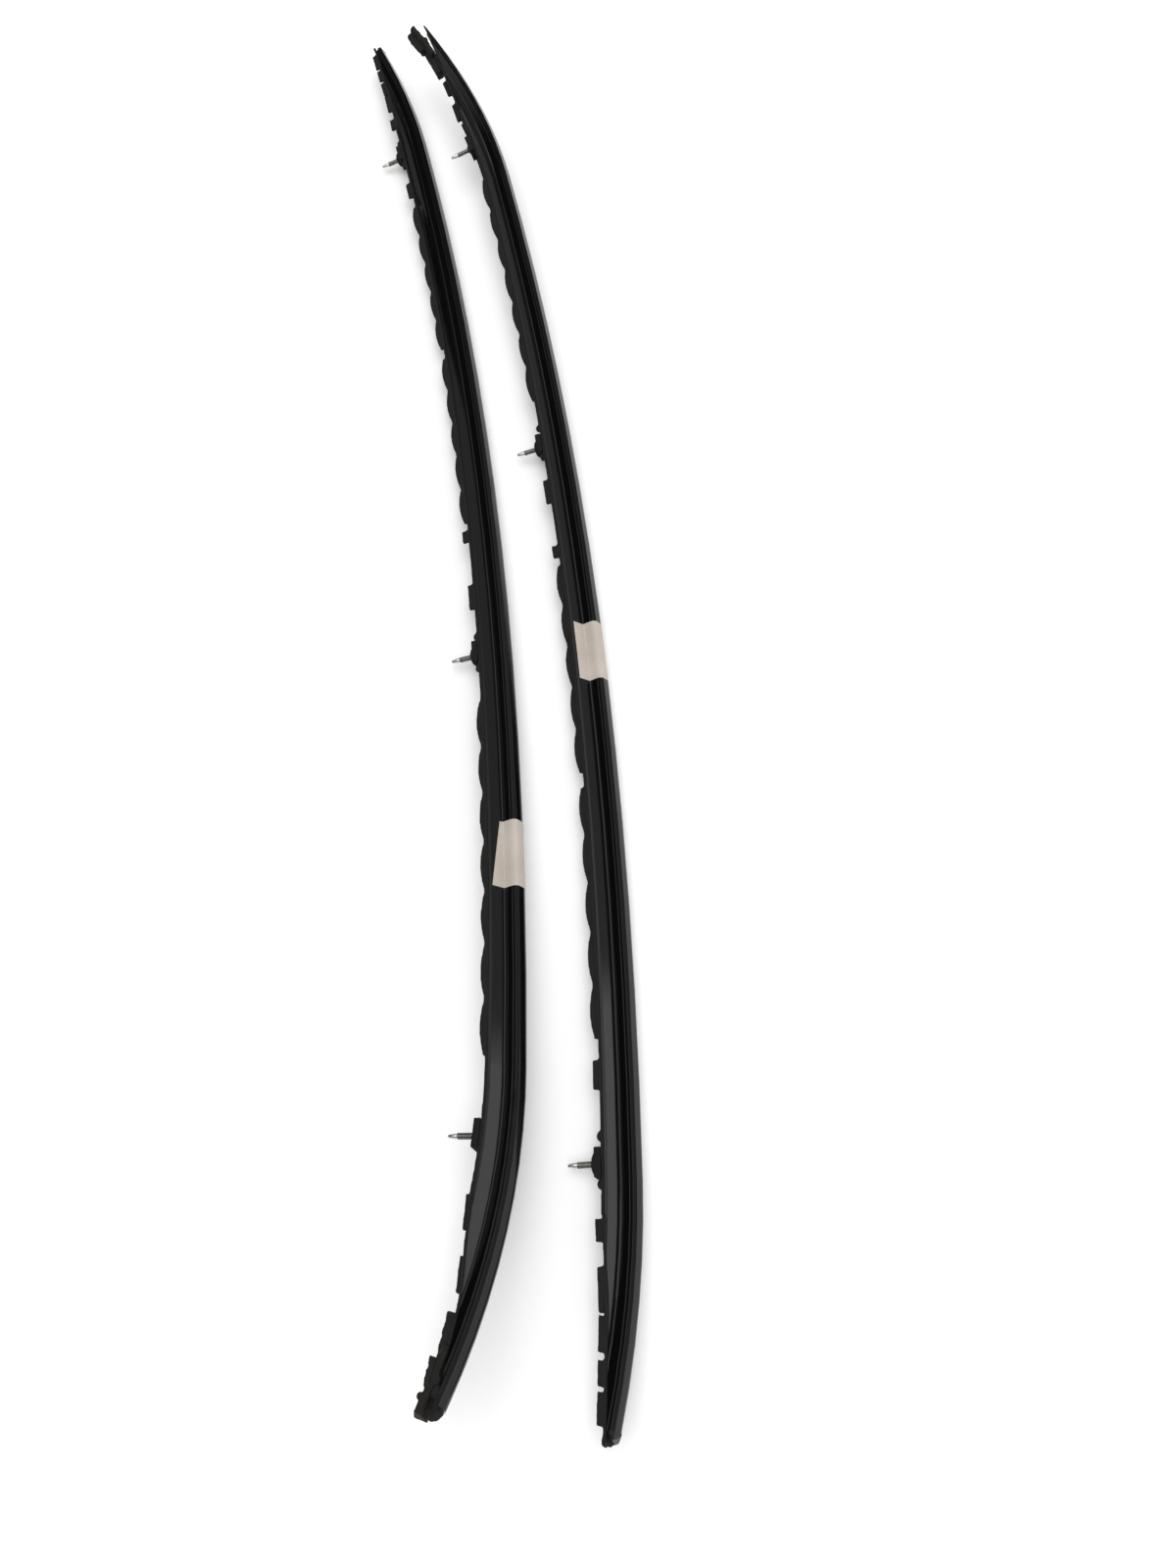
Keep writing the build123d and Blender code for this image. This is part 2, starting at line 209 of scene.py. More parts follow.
def finished(name, bm, material, smooth_angle=35.0):
    """Turns a bmesh into an object of the part, at the origin, with its material and slot."""
    mesh = bpy.data.meshes.new(name)
    bm.to_mesh(mesh)
    bm.free()
    mesh.materials.append(material)
    mesh.shade_smooth()
    mesh.set_sharp_from_angle(angle=math.radians(smooth_angle))
    piece = bpy.data.objects.new(name, mesh)
    bpy.context.collection.objects.link(piece)
    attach(piece, "root")
    return piece


# %% [markdown]
# ## Gloss black paint
#
# The extrusions are coated in deep gloss black. Such paint is nearly a black mirror: what is seen is the
# room in it. The colour itself is almost nothing, so the finish lives in a clear coat, a faint orange
# peel, and a thin film of dust and wiping marks that dulls the mirror here and there.

# %% Rail paint
def rail_paint():
    material, tree, shader, place = new_material("rail_paint")
    dust = noise(tree, place, 900.0, 6.0, 0.7)
    film = noise(tree, place, 14.0, 4.0, 0.6)
    dusty = combined(tree, "MULTIPLY", remap(tree, dust, 0.62, 0.75, 0.0, 1.0),
                     remap(tree, film, 0.42, 0.68, 0.0, 1.0))
    colour = blend_colours(tree, dusty, (0.0022, 0.0023, 0.0028), (0.024, 0.023, 0.022))
    tree.links.new(colour, shader.inputs["Base Color"])
    wiped = add_node(tree, "ShaderNodeMapping", Vector=place, Scale=(60.0, 4.0, 60.0))
    streaks = noise(tree, wiped.outputs["Vector"], 5.0, 5.0, 0.6)
    tree.links.new(remap(tree, streaks, 0.35, 0.75, 0.08, 0.20), shader.inputs["Roughness"])
    shader.inputs["Specular IOR Level"].default_value = 0.14
    shader.inputs["Coat Weight"].default_value = 0.25
    shader.inputs["Coat Roughness"].default_value = 0.03
    bumped(tree, shader, noise(tree, place, 420.0, 2.0), 0.00002, 0.35)
    return material


PAINT = rail_paint()
print("finish:", PAINT.name)

# %% [markdown]
# ## Rubber, foam and plastic
#
# Four blacks have to look different from the paint and from each other. The moulded seal is dull with a
# fine grain, the tongue is coarser and paler, the plug is satin, and the pads are closed-cell foam.
# One function makes them all from a colour pair, a roughness range and the size of the grain.

# %% Matt blacks
def dull_black(name, dark, pale, rough_low, rough_high, grain, grain_depth, cells=False):
    material, tree, shader, place = new_material(name)
    patches = noise(tree, place, 45.0, 5.0, 0.65)
    tree.links.new(
        blend_colours(tree, remap(tree, patches, 0.35, 0.7, 0.0, 1.0), dark, pale),
        shader.inputs["Base Color"],
    )
    tree.links.new(remap(tree, patches, 0.3, 0.7, rough_low, rough_high), shader.inputs["Roughness"])
    shader.inputs["Specular IOR Level"].default_value = 0.25
    if cells:
        pores = add_node(tree, "ShaderNodeTexVoronoi", Vector=place, Scale=grain)
        height = pores.outputs["Distance"]
    else:
        height = noise(tree, place, grain, 4.0, 0.6)
    bumped(tree, shader, height, grain_depth, 0.6)
    return material


SEAL_RUBBER = dull_black("seal_rubber", (0.006, 0.0057, 0.0054), (0.013, 0.0122, 0.0112),
                         0.62, 0.85, 2200.0, 0.00012)
TONGUE_RUBBER = dull_black("tongue_rubber", (0.0085, 0.0079, 0.0073), (0.019, 0.0176, 0.0162),
                           0.7, 0.92, 1300.0, 0.0004)
PLUG_PLASTIC = dull_black("plug_plastic", (0.005, 0.005, 0.0052), (0.009, 0.009, 0.0092),
                          0.34, 0.5, 2600.0, 0.00006)
PAD_FOAM = dull_black("pad_foam", (0.006, 0.006, 0.006), (0.013, 0.0125, 0.012),
                      0.8, 0.95, 1500.0, 0.0003, cells=True)
print("finishes:", [item.name for item in (SEAL_RUBBER, TONGUE_RUBBER, PLUG_PLASTIC, PAD_FOAM)])

# %% [markdown]
# ## Zinc-plated steel
#
# The studs are zinc plated, bright at the point and nearly black at the collar. The thread is greyer:
# painted shade of its grooves. Each vertex carries that as an attribute, which the finish reads.
# Plating is slightly cloudy, so both the colour and the roughness drift,
# and a fine bump breaks the highlights.

# %% Stud steel
def stud_steel():
    material, tree, shader, place = new_material("stud_steel")
    cloud = noise(tree, place, 260.0, 5.0, 0.6)
    zinc = blend_colours(
        tree, remap(tree, cloud, 0.35, 0.68, 0.0, 1.0), (0.62, 0.60, 0.57), (0.80, 0.78, 0.74)
    )
    # The attribute darkens the zinc to nearly black at the collar, and to grey along the thread, where the
    # grey is painted shade of the thread's grooves.
    zinc_oxide_and_painted_shade = add_node(tree, "ShaderNodeAttribute", {"attribute_name": "zinc_oxide_and_painted_shade"}).outputs["Fac"]
    zinc_oxide_and_painted_shade_colour = add_node(tree, "ShaderNodeMix", {"data_type": "RGBA"})
    tree.links.new(zinc_oxide_and_painted_shade, zinc_oxide_and_painted_shade_colour.inputs[0])
    zinc_oxide_and_painted_shade_colour.inputs[6].default_value = (0.025, 0.025, 0.026, 1.0)
    tree.links.new(zinc, zinc_oxide_and_painted_shade_colour.inputs[7])
    tree.links.new(zinc_oxide_and_painted_shade_colour.outputs[2], shader.inputs["Base Color"])
    shader.inputs["Metallic"].default_value = 1.0
    tree.links.new(remap(tree, cloud, 0.3, 0.7, 0.22, 0.42), shader.inputs["Roughness"])
    bumped(tree, shader, noise(tree, place, 2400.0, 3.0), 0.00003, 0.4)
    return material


STEEL = stud_steel()
print("finish:", STEEL.name)

# %% [markdown]
# ## Dressing the solid nodes
#
# The rails and plugs are hard and keep the solid model's own shape, so they only change material.
# Their meshes are left untouched.

# %% Materials on the solid nodes
NODE_FINISH = {"rail": PAINT, "rear_plug": PLUG_PLASTIC}


def dress(node, material):
    """Gives every material slot of a solid node one finish."""
    for slot in node.material_slots:
        slot.material = material


for side in SIDES:
    for part, material in NODE_FINISH.items():
        dress(frame["nodes"][f"{side}_{part}"], material)
print("dressed:", len(SIDES) * len(NODE_FINISH), "nodes")

# %% [markdown]
# ## Softened rubber
#
# The base seal and the loose tongue are moulded rubber, without a crisp corner anywhere. A bevel would have
# to deal with hundreds of short edges where lobes, blocks and flange meet, so the merged solid is wrapped
# in a voxel mesh of small even faces instead. Smoothing then rolls every corner over, and a decimate
# thins the long flat runs out again.

# %% Softening helpers
def solid_copy(name):
    """A copy of a solid node with its loose triangles merged."""
    bm = bmesh.new()
    bm.from_mesh(frame["nodes"][name].data)
    bmesh.ops.remove_doubles(bm, verts=bm.verts, dist=WELD)
    return bm


def softened(bm, voxel, rounds, keep):
    """The same shape in small even faces, smoothed, with a share of its faces kept."""
    mesh = bpy.data.meshes.new("hard")
    bm.to_mesh(mesh)
    bm.free()
    holder = bpy.data.objects.new("hard", mesh)
    bpy.context.collection.objects.link(holder)
    even = holder.modifiers.new("even", "REMESH")
    even.mode = "VOXEL"
    even.voxel_size = voxel
    roll = holder.modifiers.new("roll", "SMOOTH")
    roll.iterations = rounds
    thin = holder.modifiers.new("thin", "DECIMATE")
    thin.ratio = keep
    graph = bpy.context.evaluated_depsgraph_get()
    soft_mesh = bpy.data.meshes.new_from_object(holder.evaluated_get(graph))
    bpy.data.objects.remove(holder)
    soft = bmesh.new()
    soft.from_mesh(soft_mesh)
    return soft


# %% [markdown]
# ## Base seals
#
# Small beads sit beside the middle and rear studs, and the prong at the rear end is swollen. They are added
# to the solid before it is softened, so that they melt into the strip. The prong lies on the rear arc, so
# its place is found by moving the rear stud's axes along the rail.

# %% Base seals
SOFT_ANGLE = 60.0
SEAL_VOXEL = 1.2 * MM
SEAL_ROUNDS = 3
SEAL_KEEP = 0.4
SEAL_THICK = 3.5 * MM
BEAD_STUDS = ("middle", "rear")
BEAD_SHIFTS = (-22.0 * MM, 18.5 * MM)
BEAD_SIZE = (5.0 * MM, 3.0 * MM, 4.4 * MM)
BEAD_IN = 7.5 * MM
MAIN_RADIUS = 5370.0 * MM
REAR_RADIUS = 740.0 * MM
REAR_STUD_TO_BEND = 15.0 * MM
REAR_BEND_TO_PRONG = 192.5 * MM
PRONG_SWELLS = (((0.0, -11.0 * MM, 18.0 * MM), (6.5 * MM, 3.0 * MM, 2.6 * MM)),
                ((0.5 * MM, -12.0 * MM, 21.0 * MM), (6.0 * MM, 4.0 * MM, 3.2 * MM)))
SWELLING_SUBDIVISIONS = 3


def add_swelling(bm, place, middle, size):
    """An egg-shaped swelling: its middle and half sizes run to the rear, inboard and up."""
    shape = place @ Matrix.Translation(middle) @ Matrix.Diagonal((*size, 1.0))
    bmesh.ops.create_icosphere(bm, subdivisions=SWELLING_SUBDIVISIONS, radius=1.0, matrix=shape)


def soft_seal(side):
    node = f"{side}_base_seal"
    bm = solid_copy(node)
    for stud in BEAD_STUDS:
        for shift in BEAD_SHIFTS:
            add_swelling(bm, stud_frame(side, stud), (shift, BEAD_IN, -SEAL_THICK), BEAD_SIZE)
    bend = carried(side, stud_frame(side, "rear"), MAIN_RADIUS, REAR_STUD_TO_BEND)
    prong = carried(side, bend, REAR_RADIUS, REAR_BEND_TO_PRONG)
    for middle, size in PRONG_SWELLS:
        add_swelling(bm, prong, middle, size)
    bm = softened(bm, SEAL_VOXEL, SEAL_ROUNDS, SEAL_KEEP)
    piece = finished(f"{side}_soft_seal", bm, SEAL_RUBBER, SOFT_ANGLE)
    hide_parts(node)
    return piece


seals = [soft_seal(side) for side in SIDES]
print("seals:", [len(piece.data.polygons) for piece in seals], "faces")

# %% [markdown]
# ## Front tongues
#
# The tongue is rougher than the seal: it is the torn and hand-pressed end of the moulding.
# Wedges thicken it and close the slit between its tail and the flange, and on the left rail swellings
# crumple its end against the blade. Sizes in these tables are in millimetres: the distance from the tip,
# then inboard and up. After softening, smooth noise pushes the skin in and out.

# %% Front tongues
TONGUE_VOXEL = 0.8 * MM
TONGUE_ROUNDS = 3
TONGUE_KEEP = 0.6
LUMP_SIZE = 5.0 * MM
LUMP_DEPTH = 0.8 * MM
FRONT_RADIUS = 590.0 * MM
FRONT_STUD_FROM_TIP = 208.0 * MM
WEB = (((41.5, 5.0, 12.0), (66.0, 5.0, 8.5)), (-17.0, -5.0))
WEDGES = {
    "left": (WEB, (((8.0, 8.5, 12.5), (30.0, 3.2, 9.0)), (-6.0, 3.2))),
    "right": (WEB, (((-3.0, -1.0, 9.0), (24.0, 0.6, 8.0)), (-15.0, -4.0))),
}
CRUMPLES = {
    "left": (
        ((1.0, -13.0, 17.0), (6.0, 5.0, 4.0)),
        ((3.0, -8.0, 20.5), (5.0, 4.5, 3.6)),
        ((10.0, -6.0, 17.0), (6.0, 4.0, 3.5)),
        ((-5.0, -12.0, 15.5), (5.0, 4.5, 4.0)),
        ((-4.5, -11.0, 19.5), (5.0, 4.5, 4.5)),
        ((-3.5, -9.0, 23.5), (5.0, 4.5, 4.2)),
        ((-1.5, -8.0, 26.5), (3.5, 3.5, 2.4)),
        ((2.0, -0.5, 8.8), (3.2, 3.0, 3.0)),
    ),
    "right": (((-4.5, -9.5, 4.0), (6.5, 6.0, 5.0)),),
}


def tip_frame(side, distance):
    """Axes of the rail at a distance from its front tip."""
    return carried(side, stud_frame(side, "front"), FRONT_RADIUS, distance - FRONT_STUD_FROM_TIP)


def add_wedge(bm, side, ends, sides):
    """A wedge between two distances from the tip, each with its lowest and highest point."""
    corners = []
    for distance, *heights in ends:
        place = tip_frame(side, distance * MM)
        for across in sides:
            for height in heights:
                corners.append(bm.verts.new(place @ Vector((0.0, across * MM, height * MM))))
    bmesh.ops.convex_hull(bm, input=corners)


def push_lumps(bm, size, depth):
    """Moves every vertex along its normal by smooth noise."""
    bm.normal_update()
    moves = [(vert, vert.normal * depth * value_noise.noise(vert.co / size)) for vert in bm.verts]
    for vert, move in moves:
        vert.co += move


def soft_tongue(side):
    node = f"{side}_front_tongue"
    bm = solid_copy(node)
    for ends, sides in WEDGES[side]:
        add_wedge(bm, side, ends, sides)
    for (distance, across, height), size in CRUMPLES[side]:
        place = tip_frame(side, distance * MM)
        add_swelling(bm, place, (0.0, across * MM, height * MM), [half * MM for half in size])
    bm = softened(bm, TONGUE_VOXEL, TONGUE_ROUNDS, TONGUE_KEEP)
    push_lumps(bm, LUMP_SIZE, LUMP_DEPTH)
    piece = finished(f"{side}_soft_tongue", bm, TONGUE_RUBBER, SOFT_ANGLE)
    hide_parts(node)
    return piece


tongues = [soft_tongue(side) for side in SIDES]
print("tongues:", [len(piece.data.polygons) for piece in tongues], "faces")

# %% [markdown]
# ## Foam pads
#
# Each stud stands in a block of closed-cell foam, cut square. Cut foam still has no crisp corners, so the
# solid block is copied, its triangles are joined back into flat faces, and every outside edge is rolled
# over with a bevel. At the middle and rear studs the foam also swells out round the thread.

# %% Foam pads
PAD_ROLL = 1.1 * MM
PAD_FACE = 10.0 * MM
PAD_DOME = (11.0 * MM, 7.5 * MM, 4.8 * MM)
DOMED_STUDS = ("middle", "rear")
FLAT_ANGLE = math.radians(2.0)
CORNER_ANGLE = math.radians(60.0)
SHORT_EDGE = 3.0 * MM
PAD_SMOOTH = 50.0


def foam_pad(side, stud):
    node = f"{side}_{stud}_stud_pad"
    bm = solid_copy(node)
    bmesh.ops.dissolve_limit(bm, angle_limit=FLAT_ANGLE, verts=bm.verts, edges=bm.edges)
    corners = [edge for edge in bm.edges
               if edge.is_manifold and edge.calc_face_angle() > CORNER_ANGLE
               and edge.calc_length() > SHORT_EDGE]
    bmesh.ops.bevel(bm, geom=corners, offset=PAD_ROLL, offset_type="OFFSET", segments=3, profile=0.5,
                    affect="EDGES", material=-1, clamp_overlap=True)
    bmesh.ops.triangulate(bm, faces=[face for face in bm.faces if len(face.verts) > 4])
    if stud in DOMED_STUDS:
        add_swelling(bm, stud_frame(side, stud), (0.0, 0.0, -PAD_FACE), PAD_DOME)
    piece = finished(f"{side}_{stud}_foam", bm, PAD_FOAM, PAD_SMOOTH)
    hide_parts(node)
    return piece


pads = [foam_pad(side, stud) for side in SIDES for stud in STUDS]
print("foam pads:", len(pads))

# %% [markdown]
# ## Threaded studs
#
# A screw thread is a helix, and `spin` makes one when each step also moves along the axis.
# The profile is one pitch of thread: root, flank, crest, flank. Spun for as many turns as the pin is long,
# each turn ends where the next begins, so the doubles merge into one surface.

# %% Threads and turned shapes
PITCH = 1.0 * MM
THREAD_DEPTH = 0.6 * PITCH
TURN_STEPS = 20
TURNED_STEPS = 32


def chain(bm, points):
    """Vertices joined by edges, one after another."""
    verts = [bm.verts.new(point) for point in points]
    edges = [bm.edges.new(pair) for pair in zip(verts, verts[1:])]
    return verts + edges


def add_thread(bm, radius, low, high):
    """A closed helical thread about Z between two heights."""
    turns = math.ceil((high - low) / PITCH) + 2
    root = radius - THREAD_DEPTH
    shares = ((root, 0.0), (root, 0.2), (radius, 0.52), (radius, 0.68), (root, 1.0))  # of one pitch
    start = low - PITCH
    profile = chain(bm, [(reach, 0.0, start + share * PITCH) for reach, share in shares])
    bmesh.ops.spin(bm, geom=profile, axis=(0, 0, 1), cent=(0, 0, 0), dvec=(0, 0, PITCH / TURN_STEPS),
                   angle=2 * math.pi * turns, steps=TURN_STEPS * turns)
    bmesh.ops.remove_doubles(bm, verts=bm.verts, dist=WELD)
    for height, outside in ((low, -1), (high, 1)):
        bmesh.ops.bisect_plane(bm, geom=bm.verts[:] + bm.edges[:] + bm.faces[:], plane_co=(0, 0, height),
                               plane_no=(0, 0, outside), clear_outer=True)
        rim = [edge for edge in bm.edges if edge.is_boundary]
        rim = [edge for edge in rim if all(abs(vert.co.z - height) < WELD for vert in edge.verts)]
        bmesh.ops.contextual_create(bm, geom=rim)


def mark_new(bm, layer, value):
    """Notes the zinc share of vertices without a value yet: dark collar, painted groove shade, bare point.
    """
    for vert in bm.verts:
        if vert[layer] == 0.0:
            vert[layer] = value


def add_turned(bm, outline):
    """A turned solid about Z from an outline of radius and height that starts and ends on the axis."""
    profile = chain(bm, [(reach, 0.0, height) for reach, height in outline])
    bmesh.ops.spin(bm, geom=profile, axis=(0, 0, 1), cent=(0, 0, 0), angle=2 * math.pi,
                   steps=TURNED_STEPS, use_merge=True)
    bmesh.ops.remove_doubles(bm, verts=bm.verts, dist=WELD)


# %% [markdown]
# The collar, the dog point and the plain shank are turned outlines, and the square head is a bevelled cube.
# A stud is built upright, with the middle of its pin at the origin, and is then turned into its place.

# %% Threaded studs
COLLAR_RADIUS = 4.8 * MM
COLLAR_TALL = 2.4 * MM
TIP_PAST_PIN = 3.0 * MM
POINT_LONG = 9.0 * MM
POINT_BASE = 2.5 * MM
POINT_RADIUS = 1.7 * MM
POINT_ROUND = 0.8 * MM
# Zinc share: the collar is nearly black, the thread is greyed as painted shade of its grooves, the point is
# bare zinc.
COLLAR_ZINC, THREAD_ZINC_WITH_PAINTED_SHADE, POINT_ZINC = 0.05, 0.42, 1.0
HEAD_WIDE = 11.0 * MM
HEAD_TALL = 2.3 * MM
HEAD_MIDDLE = 3.05 * MM
HEAD_BEVEL = 0.3 * MM
OVERLAP = 0.2 * MM


def threaded_stud(side, stud):
    pin = pins[f"{side}_{stud}_stud"]
    radius = pin["dims"]["r_mm"] * MM
    half = pin["dims"]["length_mm"] * MM / 2
    head = -BASE_TO_PIN - HEAD_MIDDLE
    tip = half + TIP_PAST_PIN
    point = tip - POINT_LONG
    collar_top = -half - COLLAR_TALL
    bm = bmesh.new()
    zinc_oxide_and_painted_shade = bm.verts.layers.float.new("zinc_oxide_and_painted_shade")
    add_thread(bm, radius, -half - OVERLAP, point + OVERLAP)
    # The thread is greyed: painted shade of its grooves.
    mark_new(bm, zinc_oxide_and_painted_shade, THREAD_ZINC_WITH_PAINTED_SHADE)
    collar_rim = collar_top + COLLAR_TALL / 5
    add_turned(bm, ((0, head), (radius, head), (radius, collar_top), (COLLAR_RADIUS, collar_top),
                    (COLLAR_RADIUS, collar_rim), (radius, -half), (0, -half)))
    mark_new(bm, zinc_oxide_and_painted_shade, COLLAR_ZINC)
    add_turned(bm, ((0, point), (POINT_BASE, point), (POINT_BASE, point + POINT_LONG / 3),
                    (POINT_RADIUS, tip - POINT_ROUND),
                    (POINT_RADIUS - POINT_ROUND / 3, tip - POINT_ROUND / 3),
                    (POINT_RADIUS - POINT_ROUND, tip), (0, tip)))
    mark_new(bm, zinc_oxide_and_painted_shade, POINT_ZINC)
    shape = Matrix.Translation((0, 0, head)) @ Matrix.Diagonal((HEAD_WIDE, HEAD_WIDE, HEAD_TALL, 1.0))
    block = bmesh.ops.create_cube(bm, size=1.0, matrix=shape)["verts"]
    rim = {edge for vert in block for edge in vert.link_edges}
    bmesh.ops.bevel(bm, geom=list(rim), offset=HEAD_BEVEL, segments=2, profile=0.5, affect="EDGES",
                    material=-1)
    # The square head takes the thread's grey, which is painted shade.
    mark_new(bm, zinc_oxide_and_painted_shade, THREAD_ZINC_WITH_PAINTED_SHADE)
    bmesh.ops.recalc_face_normals(bm, faces=bm.faces)
    axis = pin_axis(side, stud)
    rail_way = to_rear(side, stud)
    turn = Matrix((rail_way, axis.cross(rail_way), axis)).transposed().to_4x4()
    bmesh.ops.transform(bm, matrix=Matrix.Translation(pin_middle(side, stud)) @ turn, verts=bm.verts)
    piece = finished(f"{side}_{stud}_threaded_stud", bm, STEEL)
    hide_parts(f"{side}_{stud}_stud")
    return piece


studs = [threaded_stud(side, stud) for side in SIDES for stud in STUDS]
print("studs:", len(studs), "with", len(studs[0].data.polygons), "faces each")

# %% [markdown]
# ## Bare paper stickers
#
# A sticker is wrapped over each rail from the facet to the crown. Print is left off: the paper stays bare.
# It is warm grey, with fibres and faint stains.

# %% Sticker paper
def sticker_paper():
    material, tree, shader, place = new_material("sticker_paper")
    fibres = noise(tree, place, 700.0, 6.0, 0.7)
    stain = noise(tree, place, 35.0, 4.0, 0.6)
    mottle = combined(tree, "ADD", remap(tree, fibres, 0.3, 0.7, 0.0, 0.35),
                      remap(tree, stain, 0.35, 0.7, 0.0, 0.65))
    colour = blend_colours(tree, mottle, (0.55, 0.495, 0.445), (0.455, 0.40, 0.35))
    tree.links.new(colour, shader.inputs["Base Color"])
    shader.inputs["Roughness"].default_value = 0.62
    shader.inputs["Specular IOR Level"].default_value = 0.3
    bumped(tree, shader, fibres, 0.00004, 0.5)
    return material


PAPER = sticker_paper()
print("finish:", PAPER.name)

# %% [markdown]
# Paper follows the metal in one direction only, so its section is found first, by rays cast onto the rail:
# from the side up to the shoulder, and from above on the crown. No ray goes into the narrow groove, so the
# paper bridges it. Then `spin` carries that section along the same arc as the rail. The left sticker was
# put on askew, so its lower edge is cut at a slant.

# %% Stickers on the rails
STICKER_LONG = 71.0 * MM
STICKER_PLACE = {"left": -238.5 * MM, "right": 286.0 * MM}
STICKER_SKEW = {"left": 5.8 * MM, "right": 0.0}
STICKER_THICK = 0.12 * MM
STICKER_LIFT = 0.05 * MM
STICKER_LOW = 3.2 * MM
STICKER_HIGH = 27.8 * MM
GROOVE_LOW = 19.4 * MM
GROOVE_HIGH = 22.7 * MM
SECTION_STEPS = 34
CROWN_ACROSS = (-7.0 * MM, -14.0 * MM)
CROWN_STEPS = 8
RAY_START = 40.0 * MM
STICKER_STEPS = 14


def spread(low, high, steps):
    """Evenly spread values from the first to the last."""
    return [low + (high - low) * step / steps for step in range(steps + 1)]


def section_points(side, place):
    """Points just off the rail's skin, from its facet over its shoulder to its crown."""
    rail = frame["nodes"][f"{side}_rail"]
    skin = BVHTree.FromPolygons([vert.co for vert in rail.data.vertices],
                                [face.vertices[:] for face in rail.data.polygons])
    rays = [(Vector((0.0, RAY_START, height)), Vector((0.0, -1.0, 0.0)))
            for height in spread(STICKER_LOW, STICKER_HIGH, SECTION_STEPS)
            if not GROOVE_LOW < height < GROOVE_HIGH]
    rays += [(Vector((0.0, across, RAY_START)), Vector((0.0, 0.0, -1.0)))
             for across in spread(*CROWN_ACROSS, CROWN_STEPS)]
    points = []
    for origin, aim in rays:
        spot, face_normal, _, _ = skin.ray_cast(place @ origin, place.to_3x3() @ aim)
        points.append(spot + face_normal * STICKER_LIFT)
    return points


def cut_slant(bm, first, last, rise):
    """Cuts the lower edge from its place at one end to a higher place at the other."""
    foot = first @ Vector((0.0, 0.0, STICKER_LOW))
    raised = last @ Vector((0.0, 0.0, STICKER_LOW + rise))
    down = (raised - foot).cross(first.col[1].xyz)
    if down.dot(first.col[2].xyz) > 0:
        down.negate()
    bmesh.ops.bisect_plane(bm, geom=bm.verts[:] + bm.edges[:] + bm.faces[:], plane_co=foot, plane_no=down,
                           clear_outer=True)


def sticker(side):
    middle = stud_frame(side, "middle")
    first = carried(side, middle, MAIN_RADIUS, STICKER_PLACE[side] - STICKER_LONG / 2)
    last = carried(side, first, MAIN_RADIUS, STICKER_LONG)
    bm = bmesh.new()
    profile = chain(bm, section_points(side, first))
    axis, angle = (last @ first.inverted()).to_quaternion().to_axis_angle()
    centre = first.translation - first.col[0].xyz.cross(axis) * MAIN_RADIUS
    bmesh.ops.spin(bm, geom=profile, axis=axis, cent=centre, angle=angle, steps=STICKER_STEPS)
    cut_slant(bm, first, last, STICKER_SKEW[side])
    bmesh.ops.recalc_face_normals(bm, faces=bm.faces)
    if sum((face.normal for face in bm.faces), Vector()).dot(first.col[1].xyz) < 0:
        bmesh.ops.reverse_faces(bm, faces=bm.faces)
    bmesh.ops.solidify(bm, geom=bm.faces[:], thickness=-STICKER_THICK)
    return finished(f"{side}_sticker", bm, PAPER)


stickers = [sticker(side) for side in SIDES]
print("stickers:", [tuple(round(size / MM) for size in piece.dimensions) for piece in stickers])

# %% [markdown]
# ## Floor
#
# The floor is plain and pale. Camera and mirror rays see it a little lifted, so that it reads as white, and
# it still takes the soft shadow of the rails.

# %% Floor
FLOOR_SIZE = 12.0
FLOOR_LIFT = 0.14


def pale_floor():
    material, tree, shader, place = new_material("pale_floor")
    shade = noise(tree, place, 3.0, 2.0)
    tree.links.new(blend_colours(tree, shade, (0.92, 0.92, 0.92), (0.94, 0.94, 0.94)),
                   shader.inputs["Base Color"])
    shader.inputs["Roughness"].default_value = 0.9
    shader.inputs["Specular IOR Level"].default_value = 0.0
    path = tree.nodes.new("ShaderNodeLightPath")
    seen = path.outputs["Is Camera Ray"]
    for kind in ("Is Glossy Ray", "Is Transmission Ray"):
        seen = combined(tree, "MAXIMUM", seen, path.outputs[kind])
    tree.links.new(remap(tree, seen, 0.0, 1.0, 0.0, FLOOR_LIFT), shader.inputs["Emission Strength"])
    shader.inputs["Emission Color"].default_value = (1.0, 1.0, 1.0, 1.0)
    return material


bm = bmesh.new()
bmesh.ops.create_grid(bm, x_segments=1, y_segments=1, size=FLOOR_SIZE / 2)
floor_mesh = bpy.data.meshes.new("floor")
bm.to_mesh(floor_mesh)
bm.free()
floor_mesh.materials.append(pale_floor())
floor = bpy.data.objects.new("floor", floor_mesh)
bpy.context.collection.objects.link(floor)
print("floor:", FLOOR_SIZE, "m wide")

# %% [markdown]
# ## Light
#
# Gloss black shows what surrounds it, so the surroundings are drawn as carefully as the part. Overhead
# is a broad soft light. Low down on the right stands a bright panel, which the sloping facets of the near
# halves of the rails mirror, and beside it a dim wall for the far halves. The left is dark, as a black flag
# would make it in a studio. Each limit below is a range of one part of the direction in the sky: x to
# the right, y away from the camera, z up.

# %% Sky
OVERHEAD = 2.1
OVERHEAD_Z, OVERHEAD_X = (0.55, 0.85), (0.30, 0.48)
PANEL = 1.9
PANEL_X, PANEL_Z = (0.60, 0.70), (0.44, 0.50)
PANEL_FAR_Y, PANEL_NEAR_Y = (0.33, 0.37), (-0.30, -0.20)
WALL_NEAR, WALL_FAR = 0.62, 0.26
WALL_X, WALL_Y = (0.15, 0.45), (0.45, 0.95)
FLAG = 0.03


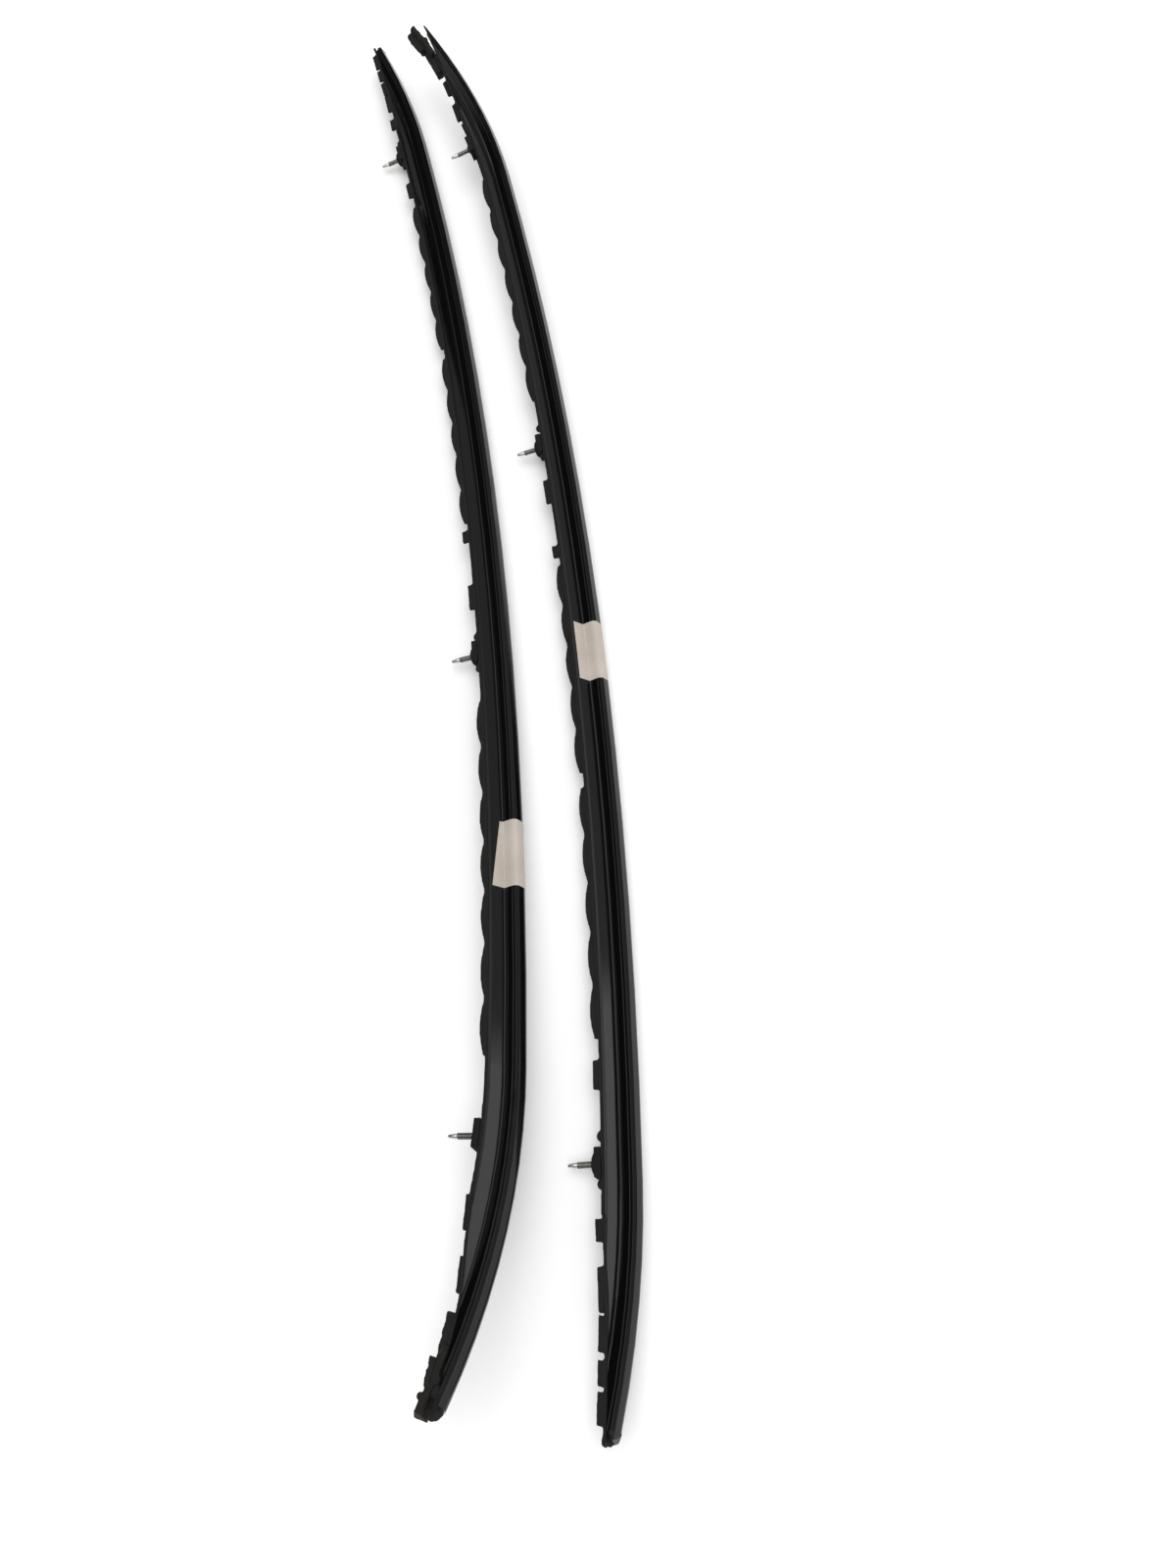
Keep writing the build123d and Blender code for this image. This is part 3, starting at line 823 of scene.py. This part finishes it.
def soft_sky():
    world = bpy.data.worlds.new("soft_sky")
    world.use_nodes = True
    tree = world.node_tree
    place = tree.nodes.new("ShaderNodeTexCoord").outputs["Generated"]
    split = add_node(tree, "ShaderNodeSeparateXYZ", Vector=place)
    x, y, z = (split.outputs[axis] for axis in "XYZ")
    wall = combined(tree, "MULTIPLY", remap(tree, x, *WALL_X, 0.0, 1.0),
                    remap(tree, y, *WALL_Y, WALL_NEAR, WALL_FAR))
    panel = combined(tree, "MULTIPLY", remap(tree, y, *PANEL_FAR_Y, PANEL, 0.0),
                     remap(tree, y, *PANEL_NEAR_Y, 0.0, 1.0))
    panel = combined(tree, "MULTIPLY", panel, remap(tree, z, *PANEL_Z, 1.0, 0.0))
    panel = combined(tree, "MULTIPLY", panel, remap(tree, x, *PANEL_X, 0.0, 1.0))
    overhead = combined(tree, "MULTIPLY", remap(tree, z, *OVERHEAD_Z, FLAG, OVERHEAD),
                        remap(tree, x, *OVERHEAD_X, 1.0, 0.0))
    total = combined(tree, "MAXIMUM", combined(tree, "ADD", wall, panel), overhead)
    tree.links.new(total, tree.nodes["Background"].inputs["Strength"])
    tree.nodes["Background"].inputs["Color"].default_value = (1.0, 1.0, 1.0, 1.0)
    bpy.context.scene.world = world


soft_sky()
print("world:", bpy.context.scene.world.name)

# %% [markdown]
# ## Camera
#
# The camera looks down on the near ends of the rails and along them to the far ends, as in the photograph.

# %% Camera
CAMERA_PLACE = (0.1257, -0.8435, 1.1088)
CAMERA_PITCH = 26.57
CAMERA_ROLL = -0.23
LENS_LONG = 27.93
LENS_SHIFT = (0.00109, 0.00466)
lens = bpy.data.cameras.new("photo_camera")
lens.lens = LENS_LONG
lens.shift_x, lens.shift_y = LENS_SHIFT
camera = bpy.data.objects.new("photo_camera", lens)
camera.matrix_world = (Matrix.Translation(CAMERA_PLACE) @ Matrix.Rotation(math.radians(CAMERA_PITCH), 4, "X")
                       @ Matrix.Rotation(math.radians(CAMERA_ROLL), 4, "Z"))
bpy.context.collection.objects.link(camera)
bpy.context.scene.camera = camera
bpy.context.scene.view_settings.view_transform = "Standard"
print("camera at", CAMERA_PLACE)
